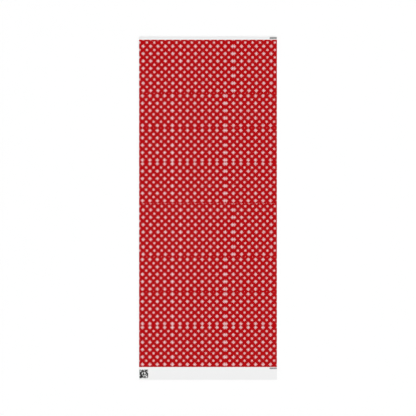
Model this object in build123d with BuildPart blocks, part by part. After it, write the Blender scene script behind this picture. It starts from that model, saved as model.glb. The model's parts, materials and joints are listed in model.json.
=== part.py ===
"""A gift wrap web, unrolled flat with its printed face up, that rolls up from its lead to its tail.

The web is one piece of coated paper. It bends along straight lines across its width, and each
stretch between two of those lines is a thin flat strip. Neighbouring strips meet face to face and
turn about the line where their printed faces meet, so nothing overlaps as the web curls upwards.
The plain margin at each end is a piece of its own. The tail margin lies still while the rest
rolls up, and the lead margin turns with the last printed strip. The origin is on the underside,
at the middle of the unrolled web, with the width along X and the length along Y.
"""

import os

from build123d import *

# Driving dimensions, in millimetres, of a nominal 24 in by 60 in roll
WIDTH = 609.6
TAIL_MARGIN = 55.9  # unprinted, at the -Y end
PRINTED_LENGTH = 1447.8
LEAD_MARGIN = 12.7  # unprinted, at the +Y end
PAPER = 0.11  # thickness of a 90 g/m2 coated paper
STRIPS = 57  # from the tail margin to the lead end, each turning against the one before it
TAPER = 1 / 6  # share of the mean that the first strip is longer than it, and the last shorter

LENGTH = TAIL_MARGIN + PRINTED_LENGTH + LEAD_MARGIN
MEAN_STRIP = (PRINTED_LENGTH + LEAD_MARGIN) / STRIPS


def strip_length(number):
    """Length along the web of a strip, numbered from 1 at the tail.

    The strips shorten evenly towards the lead. With the same bend at every line, each turn
    of the roll then has a smaller radius than the one outside it, and lies clear of it.
    """
    along = (number - 1) / (STRIPS - 1)
    return MEAN_STRIP * (1 + TAPER * (1 - 2 * along))


# The last strip is printed as far as the lead margin, so it gives up the margin's length.
printed = [strip_length(number) for number in range(1, STRIPS + 1)]
printed[-1] -= LEAD_MARGIN

web = [("tail_margin", TAIL_MARGIN)]
web += [(f"print_strip_{number:02d}", length) for number, length in enumerate(printed, 1)]
web += [("lead_margin", LEAD_MARGIN)]

os.makedirs("parts", exist_ok=True)

start = -LENGTH / 2
for name, length in web:
    with BuildPart() as strip:
        with BuildSketch(Plane(origin=(0, start + length / 2, 0))):
            Rectangle(WIDTH, length)
        extrude(amount=PAPER)
    strip.part.label = name
    export_step(strip.part, f"parts/{name}.step")
    start += length
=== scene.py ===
"""A gift wrap web, unrolled flat with its printed face up, on a pale floor.

The web is one sheet of paper. For every line that it bends along there is one closed slab of
paper, which runs from the middle of one strip to the middle of the next. The two plain margins
are slabs of their own. The print is cut into the upper face: a triangle of it is red ink, the
pale ink of a snowflake, the dark ink of a mark or bare coated paper.
All sizes are in metres.
"""

import json
import math
import random

import bpy
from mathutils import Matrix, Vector, geometry, kdtree


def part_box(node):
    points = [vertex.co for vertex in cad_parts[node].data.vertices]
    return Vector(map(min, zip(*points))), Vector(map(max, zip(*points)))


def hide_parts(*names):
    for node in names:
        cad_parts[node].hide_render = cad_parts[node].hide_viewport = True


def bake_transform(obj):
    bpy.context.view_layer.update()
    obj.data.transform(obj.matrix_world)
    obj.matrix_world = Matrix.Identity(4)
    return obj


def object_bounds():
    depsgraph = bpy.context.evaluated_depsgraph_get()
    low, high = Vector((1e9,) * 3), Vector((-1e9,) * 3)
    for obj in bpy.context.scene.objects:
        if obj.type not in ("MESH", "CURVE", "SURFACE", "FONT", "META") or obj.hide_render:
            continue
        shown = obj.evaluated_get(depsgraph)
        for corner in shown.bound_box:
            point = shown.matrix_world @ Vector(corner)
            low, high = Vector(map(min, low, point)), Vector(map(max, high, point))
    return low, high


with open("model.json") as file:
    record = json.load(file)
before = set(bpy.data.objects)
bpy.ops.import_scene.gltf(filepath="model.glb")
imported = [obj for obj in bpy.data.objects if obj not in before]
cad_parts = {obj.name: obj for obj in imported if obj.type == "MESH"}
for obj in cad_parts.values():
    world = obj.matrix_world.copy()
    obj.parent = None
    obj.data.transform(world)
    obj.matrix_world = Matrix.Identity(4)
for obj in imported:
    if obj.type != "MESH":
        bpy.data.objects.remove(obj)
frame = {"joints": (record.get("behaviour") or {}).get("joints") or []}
cad_low, cad_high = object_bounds()

# The web, from the frame
HALF_WIDTH = (cad_high.x - cad_low.x) / 2
PAPER = cad_high.z - cad_low.z
TAIL_END, LEAD_END = cad_low.y, cad_high.y
PRINT_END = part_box("tail_margin")[1].y
PRINT_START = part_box("lead_margin")[0].y
BENDS = frame["joints"]

# The print. It repeats twice down the web, and each repeat is four bands of one snowflake field.
# A band is its depth, how far its first row lies below its top, and its first seam from the left.
BANDS = (
    (0.2378, 0.0291, 0.1830),
    (0.1526, 0.0107, 0.1471),
    (0.1496, 0.0112, 0.1471),
    (0.1839, 0.0089, 0.1471),
)
REPEATS = 2
TILE = 0.2338  # width of the field that repeats across the web, mirrored at every seam
FIRST_COLUMN = 0.00115
COLUMN_PITCH = 0.03273
ROW_PITCH = 0.03265

# Snowflake arms from root to tip, as (distance from the centre, half width)
LONG_ARM = (
    (0.0030, 0.00052),
    (0.0049, 0.0020),
    (0.0045, 0.00052),
    (0.0056, 0.00050),
    (0.0076, 0.0022),
    (0.0070, 0.00045),
    (0.0090, 0.00028),
)
SHORT_ARM = (
    (0.0031, 0.00050),
    (0.0047, 0.0016),
    (0.0043, 0.00048),
    (0.0053, 0.00046),
    (0.0068, 0.0017),
    (0.0064, 0.00040),
    (0.0077, 0.00025),
)
LARGE_NOTCH = 0.0015  # distance from the centre to the corner between two arms
FAN_ARM = (
    (0.0023, 0.00045),
    (0.0032, 0.00115),
    (0.0049, 0.00100),
    (0.0054, 0.00040),
    (0.0068, 0.00025),
)
SMALL_NOTCH = 0.0012

# Printed marks in the margins
CODE_SIDE = 0.038
CODE_CELLS = 11
CODE_FILL = 0.8  # share of the cells that are dark
CODE_SEED = 5
CODE_FROM_LEFT = 0.0020
CODE_BELOW_PRINT = 0.0115
TICKS = 11
TICK_ROW = 0.0315  # length of a row of ticks
TICK_FILL = 0.68  # share of the pitch that a tick takes up
TICKS_FROM_RIGHT = 0.0003
LEAD_TICKS = (0.0012, 0.0100)  # from the lead end
TAIL_TICKS = (0.0022, 0.0092)  # below the print

# How the paper lies. A curl is the height of the end's middle, how far the curl reaches along the
# web, and as shares of the height, how much more both corners rise, and what is added to that at
# the right corner and taken off at the left.
LEAD_CURL = (0.0008, 0.09, 0.3, 0.1)
TAIL_CURL = (0.0005, 0.06, 0.4, -0.1)
SWELL_HEIGHT = 0.00010  # half of the height of the low waves along the web
SWELL_TURN = 15.3  # radians of a wave in a metre along the web
SWELL_SLANT = 2.1  # radians from the middle of the web to a side
DRIFT, DRIFT_TURN = 0.6, 4.7  # make the waves uneven
EDGE_HEIGHT = 0.00014  # half of the height of the waves at the two sides
EDGE_TURN = 27
EDGE_POWER = 6  # keeps them near the sides
EDGE_START_LEFT, EDGE_START_RIGHT = 0.3, 1.9

# The mesh
ROW_STEP = 0.0032
COLUMN_STEP = 0.01905
GUARD = 0.001  # the rows next to a slab's ends, so that shading runs on from slab to slab
TOO_NEAR = GUARD / 10  # a band's top this near to a slab's end gets no row of its own
SAME_POINT = 1e-6
SHARP_ANGLE = math.radians(60)  # the cut edges of the paper are sharper than this
GRAIN_MAP = "grain"

INK, BARE, FLAKE, MARK, BACK = range(5)


def snowflake(arms, notch):
    """Outline of a snowflake about the origin, with the arms evenly spaced from +Y round."""
    half_turn = math.pi / len(arms)
    points = []
    for number, arm in enumerate(arms):
        turn = math.pi / 2 + 2 * half_turn * number
        out = Vector((math.cos(turn), math.sin(turn)))
        side = Vector((-out.y, out.x))
        points += [out * along - side * across for along, across in arm]
        points += [out * along + side * across for along, across in reversed(arm)]
        points.append(notch * Vector((math.cos(turn + half_turn), math.sin(turn + half_turn))))
    return points


LARGE = snowflake([LONG_ARM, SHORT_ARM] * 4, LARGE_NOTCH)
SMALL = snowflake([FAN_ARM] * 6, SMALL_NOTCH)


def printed_field():
    """Every snowflake of the print, as (outline, box of the tile that it shows in)."""
    flakes = []
    top = PRINT_START
    for depth, first_row, seam in BANDS * REPEATS:
        for number in (-1, 0, 1):
            left = cad_low.x + seam + number * TILE
            tile = (left, top - depth, left + TILE, top)
            for shape, offset in ((LARGE, 0), (SMALL, 0.5)):
                reach = max(point.length for point in shape)
                for row in range(-1, int(depth / ROW_PITCH) + 2):
                    y = top - first_row - (row + offset) * ROW_PITCH
                    for column in range(-1, int(TILE / COLUMN_PITCH) + 2):
                        across = FIRST_COLUMN + (column + offset) * COLUMN_PITCH
                        x = left + (across if number == 0 else TILE - across)
                        inside_x = tile[0] - reach < x < tile[2] + reach
                        if inside_x and tile[1] - reach < y < tile[3] + reach:
                            centre = Vector((x, y))
                            flakes.append(([centre + point for point in shape], tile))
        top -= depth
    return flakes


def rectangle(x, y, width, height):
    """Outline of a rectangle with its lower left corner at (x, y)."""
    corners = ((x, y), (x + width, y), (x + width, y + height), (x, y + height))
    return [Vector(corner) for corner in corners]


def code_block():
    """A generic block of dark cells, which stands for no code and can't be scanned."""
    draw = random.Random(CODE_SEED)
    cell = CODE_SIDE / CODE_CELLS
    left = cad_low.x + CODE_FROM_LEFT
    bottom = PRINT_END - CODE_BELOW_PRINT - CODE_SIDE
    cells = []
    for row in range(CODE_CELLS):
        for column in range(CODE_CELLS):
            if draw.random() < CODE_FILL:
                cells.append(rectangle(left + column * cell, bottom + row * cell, cell, cell))
    return cells


def tick_row(low, high):
    """A row of plain ticks at the right edge of the web, from y = low to y = high."""
    pitch = TICK_ROW / TICKS
    left = cad_high.x - TICKS_FROM_RIGHT - TICK_ROW
    return [rectangle(left + n * pitch, low, pitch * TICK_FILL, high - low) for n in range(TICKS)]


def curl(distance, across, shape):
    """How far the web stands up at this distance from one of its ends."""
    height, reach, corners, lean = shape
    near_end = max(0, 1 - distance / reach) ** 2
    return height * near_end * (1 + corners * across**2 + lean * across)


def lift(x, y):
    """Height of the web's underside: its ends still curl, and the rest is a little wavy."""
    across = x / HALF_WIDTH
    curls = curl(LEAD_END - y, across, LEAD_CURL) + curl(y - TAIL_END, across, TAIL_CURL)
    drift = DRIFT * math.sin(DRIFT_TURN * y)
    swell = SWELL_HEIGHT * (1 + math.sin(SWELL_TURN * y + SWELL_SLANT * across + drift))
    start = EDGE_START_RIGHT if across > 0 else EDGE_START_LEFT
    edge = EDGE_HEIGHT * across**EDGE_POWER * (1 + math.sin(EDGE_TURN * y + start))
    return curls + swell + edge


def steps(low, high, step):
    """Evenly spaced values from low to high, at most step apart."""
    count = max(1, math.ceil((high - low) / step))
    return [low + (high - low) * n / count for n in range(count + 1)]


def grid(low, high):
    """Points of a slab's rows and columns, and the edges along its rows, seams and two sides.

    The tops of bands are among the rows, and the seams of the print among the columns.
    """
    rows = {low, high, *steps(low + GUARD, high - GUARD, ROW_STEP)}
    columns = set(steps(-HALF_WIDTH, HALF_WIDTH, COLUMN_STEP))
    seams = set()
    top = PRINT_START
    for depth, _, seam in BANDS * REPEATS:
        if low + TOO_NEAR < top < high - TOO_NEAR:
            rows.add(top)
        if top - depth < high and low < top:
            seams |= {cad_low.x + seam, cad_low.x + seam + TILE}
        top -= depth
    rows, columns = sorted(rows), sorted(columns | seams)
    width = len(columns)
    points = [Vector((x, y)) for y in rows for x in columns]
    edges = []
    for r in range(len(rows)):
        edges += [(r * width + c, r * width + c + 1) for c in range(width - 1)]
    for c, x in enumerate(columns):
        if x in seams or c in (0, width - 1):
            edges += [(r * width + c, (r + 1) * width + c) for r in range(len(rows) - 1)]
    return points, edges


def triangulate(points, edges, outlines, low, high):
    """Triangles of a stretch of the web, each with the numbers of the outlines it lies in."""
    points = list(points)
    faces = []
    for outline in outlines:
        faces.append(list(range(len(points), len(points) + len(outline))))
        points += outline
    flat, _, triangles, _, _, inside = geometry.delaunay_2d_cdt(points, edges, faces, 0, SAME_POINT)
    kept = []
    for corners, numbers in zip(triangles, inside):
        middle = sum((flat[c] for c in corners), Vector((0, 0))) / 3
        if low < middle.y < high and abs(middle.x) < HALF_WIDTH:
            kept.append((corners, numbers, middle))
    return flat, kept


def near(outline, low, high):
    """Whether an outline reaches into the stretch of the web from y = low to y = high."""
    return min(p.y for p in outline) < high and max(p.y for p in outline) > low


def surface(middle, numbers, flakes):
    """What the upper face is at a point that lies in the outlines of these numbers."""
    if any(number >= len(flakes) for number in numbers):
        return MARK
    if not PRINT_END < middle.y < PRINT_START:
        return BARE
    for number in numbers:
        left, bottom, right, top = flakes[number][1]
        if left < middle.x < right and bottom < middle.y < top:
            return FLAKE
    return INK


def printed_side(points, edges, flakes, marks, low, high):
    """Upper face of a slab: its points, faces, what each face is, and the edges of its rim."""
    outlines = [outline for outline, _ in flakes] + marks
    flat, triangles = triangulate(points, edges, outlines, low, high)
    used = sorted({corner for corners, _, _ in triangles for corner in corners})
    index = {old: new for new, old in enumerate(used)}
    faces, inks, rim = [], [], {}
    for corners, numbers, middle in triangles:
        face = [index[c] for c in corners]
        faces.append(face)
        inks.append(surface(middle, numbers, flakes))
        for a, b in zip(face, face[1:] + face[:1]):
            if rim.pop((b, a), None) is None:
                rim[(a, b)] = True
    return [flat[old] for old in used], faces, inks, list(rim)


def plain_side(points, edges, border, low, high):
    """Back of a slab: its points, its faces, and its point under each point of the border.

    It has the same grid as the upper face and every point of the rim, and no print.
    """
    flat, triangles = triangulate(points + list(border.values()), edges, [], low, high)
    finder = kdtree.KDTree(len(flat))
    for number, point in enumerate(flat):
        finder.insert(point.to_3d(), number)
    finder.balance()
    under = {corner: finder.find(point.to_3d())[1] for corner, point in border.items()}
    return flat, [list(reversed(corners)) for corners, _, _ in triangles], under


def slab(name, low, high, field, marks):
    """One closed slab of the web from y = low to y = high, with the print in its upper face."""
    points, edges = grid(low, high)
    flakes = [flake for flake in field if near(flake[0], low, high)]
    marks = [outline for outline in marks if near(outline, low, high)]
    above, faces, inks, rim = printed_side(points, edges, flakes, marks, low, high)
    border = {corner: above[corner] for corner in sorted({c for edge in rim for c in edge})}
    below, back, under = plain_side(points, edges, border, low, high)

    first = len(above)
    faces += [[first + c for c in corners] for corners in back]
    faces += [[a, first + under[a], first + under[b], b] for a, b in rim]
    inks += [BACK] * (len(faces) - len(inks))
    vertices = [(p.x, p.y, lift(p.x, p.y) + PAPER) for p in above]
    vertices += [(p.x, p.y, lift(p.x, p.y)) for p in below]
    return paper_mesh(name, vertices, faces, inks)


def paper_mesh(name, vertices, faces, inks):
    """An object of these faces. Its map holds the flat coordinates, for the grain."""
    mesh = bpy.data.meshes.new(name)
    mesh.from_pydata(vertices, [], faces)
    for material in MATERIALS:
        mesh.materials.append(material)
    mesh.polygons.foreach_set("material_index", inks)
    mesh.polygons.foreach_set("use_smooth", [True] * len(faces))
    place = mesh.uv_layers.new(name=GRAIN_MAP)
    for loop in mesh.loops:
        place.data[loop.index].uv = vertices[loop.vertex_index][:2]
    mesh.set_sharp_from_angle(angle=SHARP_ANGLE)
    mesh.update()
    piece = bpy.data.objects.new(name, mesh)
    bpy.context.scene.collection.objects.link(piece)
    return piece


# Materials. The grain is laid out in the web's own flat coordinates, so it keeps still on the
# paper as the web rolls up, and runs on from slab to slab. A noise is its size and its detail.
GLOSS_NOISE = (0.012, 4)
GLOSS_RANGE = 0.05  # how far the roughness strays to either side
FORMATION_NOISE = (0.045, 3)
FORMATION_DEPTH = 0.0005
GRAIN_DETAIL = 6
NOISE_LOW, NOISE_HIGH = 0.3, 0.7  # nearly all of a noise lies between them
BUMP_STRENGTH = 0.7


def add_noise(tree, place, size, detail):
    """Output of a noise that is laid out by the place node."""
    texture = tree.nodes.new("ShaderNodeTexNoise")
    texture.inputs["Scale"].default_value = 1 / size
    texture.inputs["Detail"].default_value = detail
    tree.links.new(place.outputs["UV"], texture.inputs["Vector"])
    return texture.outputs["Fac"]


def add_bump(tree, height, depth):
    """A node that gives the surface a relief of this depth."""
    bump = tree.nodes.new("ShaderNodeBump")
    bump.inputs["Distance"].default_value = depth
    bump.inputs["Strength"].default_value = BUMP_STRENGTH
    tree.links.new(height, bump.inputs["Height"])
    return bump


def paper_material(name, colour, roughness, grain, depth, specular=0.5):
    """Paper of one colour, with a fine grain in height, cloudier formation and uneven gloss."""
    material = bpy.data.materials.new(name)
    material.use_nodes = True
    tree = material.node_tree
    shader = tree.nodes["Principled BSDF"]
    shader.inputs["Base Color"].default_value = (*colour, 1)
    shader.inputs["Specular IOR Level"].default_value = specular
    place = tree.nodes.new("ShaderNodeUVMap")
    place.uv_map = GRAIN_MAP

    gloss = tree.nodes.new("ShaderNodeMapRange")
    gloss.inputs["From Min"].default_value = NOISE_LOW
    gloss.inputs["From Max"].default_value = NOISE_HIGH
    gloss.inputs["To Min"].default_value = roughness - GLOSS_RANGE
    gloss.inputs["To Max"].default_value = roughness + GLOSS_RANGE
    tree.links.new(add_noise(tree, place, *GLOSS_NOISE), gloss.inputs["Value"])
    tree.links.new(gloss.outputs["Result"], shader.inputs["Roughness"])

    formation = add_bump(tree, add_noise(tree, place, *FORMATION_NOISE), FORMATION_DEPTH)
    fine = add_bump(tree, add_noise(tree, place, grain, GRAIN_DETAIL), depth)
    tree.links.new(formation.outputs["Normal"], fine.inputs["Normal"])
    tree.links.new(fine.outputs["Normal"], shader.inputs["Normal"])
    return material


# In the order of INK, BARE, FLAKE, MARK and BACK: name, colour, roughness, size and depth of grain
MATERIALS = [
    paper_material("red_ink", (0.43, 0.0005, 0.0025), 0.33, 0.0009, 0.00004, specular=0.25),
    paper_material("coated_white", (0.872, 0.872, 0.872), 0.38, 0.0009, 0.00003),
    paper_material("pale_ink", (0.87, 0.70, 0.71), 0.36, 0.0009, 0.00004, specular=0.25),
    paper_material("grey_ink", (0.02, 0.02, 0.021), 0.38, 0.0009, 0.00003),
    paper_material("uncoated_back", (0.76, 0.75, 0.73), 0.72, 0.0013, 0.00008, specular=0.35),
]


# The web
def middles():
    """Where one slab gives way to the next: the middle of each strip, from the tail on."""
    lines = [bend["pos_m"][1] for bend in BENDS] + [LEAD_END]
    return [(line + after) / 2 for line, after in zip(lines, lines[1:])]


MIDDLES = middles()


def bend_slab(piece, nodes):
    """Bakes a slab's placement into its mesh, and hides the nodes of the frame that it is drawn in
    place of.
    """
    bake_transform(piece)
    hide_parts(*nodes)


def build_web():
    """A slab for each line, and one for each margin."""
    field = printed_field()
    marks = code_block()
    marks += tick_row(PRINT_END - TAIL_TICKS[1], PRINT_END - TAIL_TICKS[0])
    marks += tick_row(LEAD_END - LEAD_TICKS[1], LEAD_END - LEAD_TICKS[0])
    last = len(BENDS) - 1
    for number in range(len(BENDS)):
        low = MIDDLES[number - 1] if number else PRINT_END
        high = MIDDLES[number] if number < last else PRINT_START
        web = slab(f"web_{number + 1:02d}", low, high, field, marks)
        bend_slab(web, [f"print_strip_{number + 1:02d}"])
    tail = slab("web_tail_margin", TAIL_END, PRINT_END, field, marks)
    bend_slab(tail, ["tail_margin"])
    lead = slab("web_lead_margin", PRINT_START, LEAD_END, field, marks)
    bend_slab(lead, ["lead_margin"])


# Floor, light and camera
FLOOR_HALF = 30.0
FLOOR_GAP = 0.0002
FLOOR_WHITE = (0.97, 0.97, 0.97, 1)
FLOOR_ROUGHNESS = 0.8
FLOOR_SPECULAR = 0.2
SUNS = ((45, 0.32), (225, 0.28), (0, 0.20), (270, 0.20))  # degrees from +X, share of the light
SUN_HEIGHT = math.radians(34)
SUN_SPREAD = math.radians(30)
SUN_LIGHT = 0.966 * math.pi  # what all of them together bring to the floor
SKY = ((0, 1), (0.08, 1), (0.17, 0.7), (0.26, 0.2), (0.5, 0.01))  # sine of the height, brightness
CAMERA_LENS = 85
CAMERA_SENSOR = 36
CAMERA_REACH = 100
VIEW_WIDTH = 1.840  # of the floor, in the camera's frame
VIEW_UP = 0.0011  # the middle of the view is this far towards the lead


def make_floor():
    square = ((-1, -1), (1, -1), (1, 1), (-1, 1))
    corners = [(x * FLOOR_HALF, y * FLOOR_HALF, -FLOOR_GAP) for x, y in square]
    mesh = bpy.data.meshes.new("floor")
    mesh.from_pydata(corners, [], [(0, 1, 2, 3)])
    material = bpy.data.materials.new("floor")
    material.use_nodes = True
    shader = material.node_tree.nodes["Principled BSDF"]
    shader.inputs["Base Color"].default_value = FLOOR_WHITE
    shader.inputs["Roughness"].default_value = FLOOR_ROUGHNESS
    shader.inputs["Specular IOR Level"].default_value = FLOOR_SPECULAR
    mesh.materials.append(material)
    floor = bpy.data.objects.new("floor", mesh)
    bpy.context.scene.collection.objects.link(floor)


def make_suns():
    for side, share in SUNS:
        lamp = bpy.data.lights.new("soft_sun", "SUN")
        lamp.angle = SUN_SPREAD
        lamp.energy = SUN_LIGHT * share / math.sin(SUN_HEIGHT)
        sun = bpy.data.objects.new("soft_sun", lamp)
        sun.rotation_euler = (math.pi / 2 - SUN_HEIGHT, 0, math.radians(90 + side))
        bpy.context.scene.collection.objects.link(sun)


def make_sky():
    """White at the horizon and dark overhead, so that flat ink seen from above keeps its colour."""
    world = bpy.data.worlds.new("studio")
    bpy.context.scene.world = world
    world.use_nodes = True
    nodes, links = world.node_tree.nodes, world.node_tree.links
    place = nodes.new("ShaderNodeTexCoord")
    split = nodes.new("ShaderNodeSeparateXYZ")
    links.new(place.outputs["Generated"], split.inputs["Vector"])
    fall = nodes.new("ShaderNodeValToRGB")
    stops = fall.color_ramp.elements
    while len(stops) < len(SKY):
        stops.new(1)
    for stop, (height, brightness) in zip(stops, SKY):
        stop.position = height
        stop.color = (brightness, brightness, brightness, 1)
    links.new(split.outputs["Z"], fall.inputs["Fac"])
    links.new(fall.outputs["Color"], nodes["Background"].inputs["Color"])


def make_camera():
    lens = bpy.data.cameras.new("camera")
    lens.lens = CAMERA_LENS
    lens.sensor_width = CAMERA_SENSOR
    lens.clip_end = CAMERA_REACH
    camera = bpy.data.objects.new("camera", lens)
    camera.location = (0, VIEW_UP, VIEW_WIDTH * CAMERA_LENS / CAMERA_SENSOR)
    bpy.context.scene.collection.objects.link(camera)
    bpy.context.scene.camera = camera
    bpy.context.scene.view_settings.view_transform = "Standard"


build_web()
make_floor()
make_suns()
make_sky()
make_camera()
